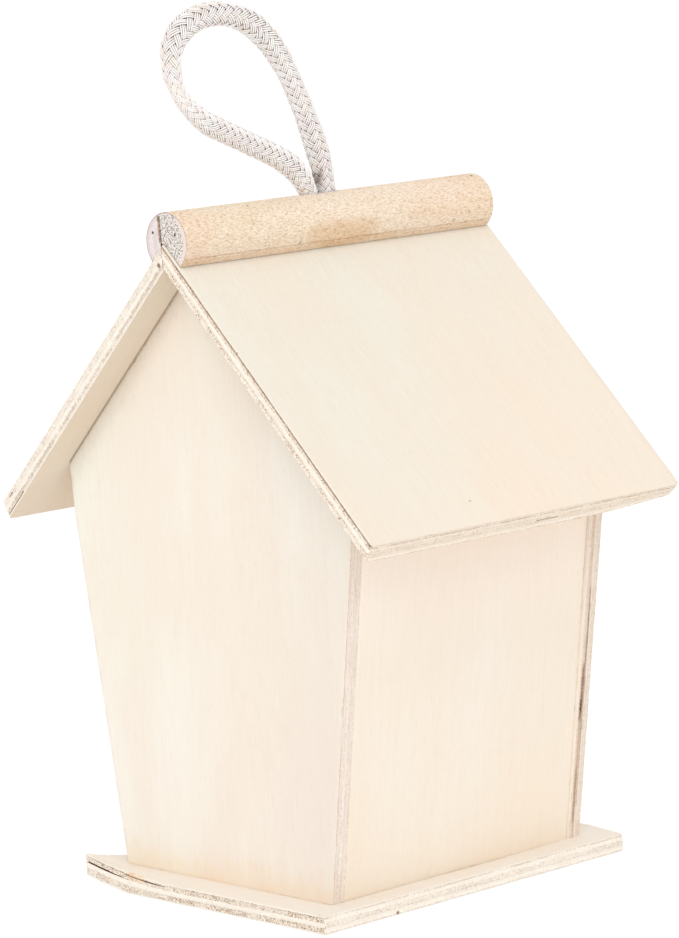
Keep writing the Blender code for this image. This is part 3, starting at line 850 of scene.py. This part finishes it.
makeBoard("right_roof_board", {
    "node": "right_roof_panel",
    "axes": boardAxes((-1, 0, 1), (-1, 0, -1)),
    "seed": 6.0,
    "warm": (0.810, 0.730, 0.620),
    "cool": (0.795, 0.750, 0.650),
    "rosy": (0.815, 0.730, 0.630),
    "scuffs": (-125, -60),
    "footTint": (0.96, 0.91, 0.87),
    "calm": 0.6,
    "bow": planedEave,
    "innerShade": (0.95, 0.94, 0.93),
    "gradients": [
        {"along": (1, 0.6), "over": (-110, 0), "uneven": 30, "share": 1.0, "colour": (1.065, 1.0, 0.975)},
    ],
    "lines": [
        {"depth": 0.84, "width": 0.08, "share": 0.95, "colour": (0.38, 0.28, 0.22), "only": "y",
         "broken": (0.35, 0.55)},
        {"depth": 0.82, "width": 0.06, "share": 0.7, "colour": (0.50, 0.39, 0.31), "only": "x"},
        {"depth": 0.14, "width": 0.06, "share": 0.9, "colour": (1.10, 1.13, 1.16), "broken": (0.1, 0.3)},
    ],
    "marks": [  # place, size, share and colour
        ((-74.3, 58.6, 106.8), 0.55, 0.9, (0.22, 0.13, 0.08)),
        ((-27.3, 58.6, 154.5), 0.5, 0.8, (0.30, 0.19, 0.12)),
        ((-31.1, 58.6, 149.9), 0.5, 0.8, (0.30, 0.19, 0.12)),
        ((-70.0, 17.2, 112.5), 0.5, 0.7, (0.45, 0.33, 0.24)),
        ((-75.9, 37.6, 106.6), 0.5, 0.7, (0.45, 0.33, 0.24)),
    ],
})
makeBoard("base_board", {
    "node": "base_plate",
    "axes": boardAxes((0, 0, 1), (1, 0, 0)),
    "seed": 7.0,
    "warm": (0.855, 0.79, 0.705),
    "cool": (0.865, 0.805, 0.725),
    "rosy": (0.865, 0.79, 0.725),
    "splitShade": 1.0,
    "calm": 0.55,
    "dots": 1.0,
    "endDark": (0.62, 0.49, 0.38),
    "flatten": flattenBase,
    "curl": curlBase,
    "lines": [
        {"depth": 0.87, "width": 0.05, "share": 0.5, "colour": (0.6, 0.5, 0.42)},
        {"depth": 0.96, "width": 0.05, "share": 0.8, "colour": (1.08, 1.10, 1.12), "broken": (0.1, 0.3)},
    ],
    "marks": [  # place, size, share and colour
        ((26.2, 58.0, 5.0), 1.9, 0.75, (0.88, 0.66, 0.45)),
        ((29.6, 58.0, 5.5), 1.9, 0.75, (0.78, 0.53, 0.34)),
        ((-49.0, 31.1, 0.6), 0.8, 0.9, (0.25, 0.15, 0.09)),
    ],
})


# Dowels: the rod along the ridge, whose near end shows its grain and a drying crack, and the perch.


def rodPaint(name, d):
    p = Paint(name)
    source = p.node("ShaderNodeTexCoord", out="Object")
    facing = p.node("ShaderNodeTexCoord", out="Normal")
    coords = p.inMillimetres(source)
    place = p.inMillimetres(source, (d["seed"] * 13.0, d["seed"] * 7.0, 0.0))
    x, y, z = p.split(coords)
    isEnd = abs(p.split(facing)[1]).rise(0.5, 0.8)
    broad = p.noise(p.scaled(place, (0.09, 0.03, 0.09)), 1.0, 2.0)
    dashes = p.noise(p.scaled(place, (2.6, 0.8, 2.6)), 1.0, 2.0, 0.6)
    flecks = p.noise(p.scaled(place, (2.8, 1.5, 2.8), (9.0, 3.0, 5.0)), 1.0, 2.0, 0.6)
    figure = p.noise(p.scaled(place, (0.22, 0.06, 0.22), (2.0, 8.0, 1.0)), 1.0, 3.0, 0.55)
    warp = p.noise(place, 1.1, 2.0, 0.6)
    speck = p.noise(p.scaled(place, (2.1, 2.1, 2.1), (4.0, 1.0, 7.0)), 1.0, 2.0, 0.7)

    side = p.mix(broad.rise(0.35, 0.65), d["tan"], d["peach"])
    side = p.tint(figure.rise(0.5, 0.68) * 0.5, side, (0.95, 0.89, 0.83))
    side = p.mix(dashes.fall(0.36, 0.47) * 0.55, side, (0.94, 0.86, 0.74))
    side = p.tint(dashes.rise(0.53, 0.66) * 0.75, side, (0.78, 0.66, 0.54))
    side = p.tint(flecks.rise(0.56, 0.66) * 0.75, side, (0.76, 0.65, 0.55))
    for zone in d["zones"]:
        spread = ((y - zone["at"][0]) / zone["reach"][0]) ** 2 + ((z - zone["at"][1]) / zone["reach"][1]) ** 2
        share = (spread + (broad - 0.5) * 2.0 + (flecks - 0.5) * zone["ragged"]).fall(0.4, 1.3)
        side = p.tint(share * zone["share"], side, zone["colour"])

    across = x - d["axis"][0]
    upward = z - d["axis"][1]
    radius = (across**2 + upward**2) ** 0.5
    rings = (radius * 2.1 + warp * 2.0).math("SINE")
    end = p.mix(rings.rise(-1.0, 1.0), (0.74, 0.655, 0.64), (0.81, 0.74, 0.73))
    end = p.tint(speck.rise(0.48, 0.6) * 0.4, end, (0.74, 0.66, 0.62))
    rim = (radius + (warp - 0.5) * 0.5).near(d["rim"], 0.35) * 0.8
    wearAndShade = d["wearAndShade"]
    if wearAndShade:  # one half of the end is rough, its rim is torn, and a crack runs down the middle
        rough = (x + (warp - 0.5) * 1.6).fall(*wearAndShade["roughEnd"])
        coarse = p.mix(speck.rise(0.40, 0.48), (0.17, 0.135, 0.11), (0.60, 0.53, 0.47))
        coarse = p.mix(speck.rise(0.48, 0.56), coarse, (0.90, 0.86, 0.82))
        end = p.mix(rough * 0.9, end, coarse)
        torn = (radius + (warp - 0.5) * 1.4).rise(*wearAndShade["tornRim"]) * across.fall(-5.0, -3.0)
        end = p.mix(torn * 0.8, end, (0.84, 0.71, 0.65))
    end = p.tint(rim, end, (0.62, 0.5, 0.42))
    if wearAndShade:
        # painted shade: the crack's interior is darkened, and a band of painted shade runs along the rod's foot
        # next to the roof
        crack = (x - 1.5 - (z - 186.5) * 0.05 + (warp - 0.5) * 1.5).near(0.0, 0.85).rise(0.1, 0.4)
        crack = crack * z.rise(*wearAndShade["crackFoot"]) * z.fall(*wearAndShade["crackTop"])
        split = p.mix(speck.rise(0.42, 0.55), (0.22, 0.165, 0.13), (0.50, 0.41, 0.34))
        end = p.mix(crack * 0.95, end, split)
        isEnd = (isEnd + y.rise(*wearAndShade["endBegins"]) * crack).least(1.0)
        side = p.tint(z.fall(*wearAndShade["footShade"]) * 0.55, side, (0.86, 0.74, 0.62))

    colour = p.mix(isEnd, side, end)
    colour = addMarks(p, colour, coords, d["marks"], warp)
    height = dashes * 0.6 + flecks * 0.6 + isEnd * speck
    return p.finish(colour, 0.66 + 0.1 * flecks, p.bump(height, 0.00012, 0.7), specular=0.2)


rodWear = 0.06  # millimetres, of a rod's skin, and as much again on its ends


def makeRod(name, d):
    made = cadCopy(d["node"], Matrix.Identity(4))
    for axis, pitch in d["pitches"]:
        sliceGrid(made, axis, pitch)
    made.normal_update()
    shift = {}
    for v in made.verts:
        place = v.co / mm
        uneven = noise.noise(Vector((place.x * 0.5, place.y * 0.16, place.z * 0.5))) * rodWear
        if abs(v.normal.y) > 0.3:
            uneven += noise.noise(place * 1.3) * rodWear
        shift[v] = v.normal * uneven * mm
    for v, move in shift.items():
        v.co += move
    material = rodPaint(name.replace("_", " "), d)
    placePiece(made, name, d["node"], Matrix.Identity(4), material, sharp=40)


# painted shade of the pinholes in the ridge rod's end grain
pinholeShade = (0.05, 0.035, 0.03)

makeRod("ridge_rod", {
    "node": "ridge_dowel",
    "seed": 1.0,
    "pitches": [(1, 1.6 * mm), (0, 1.0 * mm), (2, 1.0 * mm)],
    "tan": (0.82, 0.685, 0.52),
    "peach": (0.84, 0.705, 0.565),
    "axis": (-1.2, 183.0),
    "rim": 8.1,
    "wearAndShade": {
        "roughEnd": (0.4, 1.4),
        "tornRim": (6.2, 6.9),
        "crackFoot": (182.6, 183.4),
        "crackTop": (189.6, 190.6),
        "endBegins": (56.5, 57.0),
        "footShade": (177.6, 179.3),
    },
    "zones": [  # pinkish at both ends, browner below the rope
        {"at": (57.0, 184.0), "reach": (8.0, 12.0), "ragged": 0.5, "share": 0.8, "colour": (1.0, 0.93, 0.92)},
        {"at": (-45.0, 187.0), "reach": (24.0, 8.0), "ragged": 1.0, "share": 0.7,
         "colour": (1.0, 0.94, 0.92)},
        {"at": (0.0, 181.0), "reach": (13.0, 4.0), "ragged": 2.5, "share": 0.9,
         "colour": (0.92, 0.82, 0.72)},
    ],
    "marks": [  # place, size, share and colour
        ((4.3, 58.2, 185.6), 0.6, 1.0, pinholeShade),
        ((-4.7, 58.2, 185.3), 0.5, 1.0, pinholeShade),
        ((0.9, 58.2, 182.4), 0.7, 1.0, pinholeShade),
        ((-4.6, 31.5, 190.5), 0.55, 0.9, (0.2, 0.13, 0.09)),
        ((-3.7, -55.2, 190.8), 0.6, 1.0, (0.12, 0.08, 0.06)),
        ((-2.3, -48.5, 191.1), 0.5, 0.9, (0.3, 0.2, 0.14)),
        ((-9.3, -48.1, 181.6), 0.6, 0.7, (0.4, 0.28, 0.2)),
        ((-8.6, -42.6, 179.5), 0.8, 0.6, (0.4, 0.28, 0.2)),
        ((-8.4, 16.5, 179.0), 0.8, 0.6, (0.35, 0.24, 0.16)),
    ],
})
makeRod("perch_rod", {
    "node": "perch_dowel",
    "seed": 2.0,
    "pitches": [(1, 1.5 * mm)],
    "tan": (0.84, 0.70, 0.53),
    "peach": (0.86, 0.72, 0.575),
    "axis": (0.0, 72.0),
    "rim": 2.6,
    "wearAndShade": None,
    "zones": [],
    "marks": [],
})


# Light and floor: an even white studio, so that no face is far brighter than another.

studio = {
    "sky": 0.9,
    "floorRadius": 40.0,  # so that the floor fills the picture behind the house
    "floorColour": (0.25, 0.25, 0.25),
    "floorGlow": 0.80,
    "floorLevel": -0.2 * mm,
    "key": {"place": (-1.1, 1.15, 1.5), "aim": (0.0, 0.0, 0.1), "size": 1.6, "power": 13.5},
}


def addLamp(name, s):
    lamp = bpy.data.lights.new(name, "AREA")
    lamp.shape = "DISK"
    lamp.size = s["size"]
    lamp.energy = s["power"]
    holder = bpy.data.objects.new(name, lamp)
    holder.location = s["place"]
    holder.rotation_euler = (Vector(s["aim"]) - Vector(s["place"])).to_track_quat("-Z", "Y").to_euler()
    scene.collection.objects.link(holder)


def makeStudio(s):
    world = bpy.data.worlds.new("studio")
    world.use_nodes = True
    sky = world.node_tree.nodes["Background"]
    sky.inputs["Color"].default_value = (1.0, 1.0, 1.0, 1.0)
    sky.inputs["Strength"].default_value = s["sky"]
    scene.world = world
    made = bmesh.new()
    bmesh.ops.create_circle(made, cap_ends=True, segments=96, radius=s["floorRadius"])
    mesh = bpy.data.meshes.new("floor")
    made.to_mesh(mesh)
    made.free()
    p = Paint("white floor")
    p.shader.inputs["Emission Color"].default_value = (1.0, 1.0, 1.0, 1.0)
    p.shader.inputs["Emission Strength"].default_value = s["floorGlow"]
    mesh.materials.append(p.finish(s["floorColour"], 0.9, specular=0.0))
    floorPiece = bpy.data.objects.new("floor", mesh)
    floorPiece.location = (0, 0, s["floorLevel"])
    scene.collection.objects.link(floorPiece)
    addLamp("key light", s["key"])
    scene.view_settings.view_transform = "Standard"


makeStudio(studio)
print("studio lit")
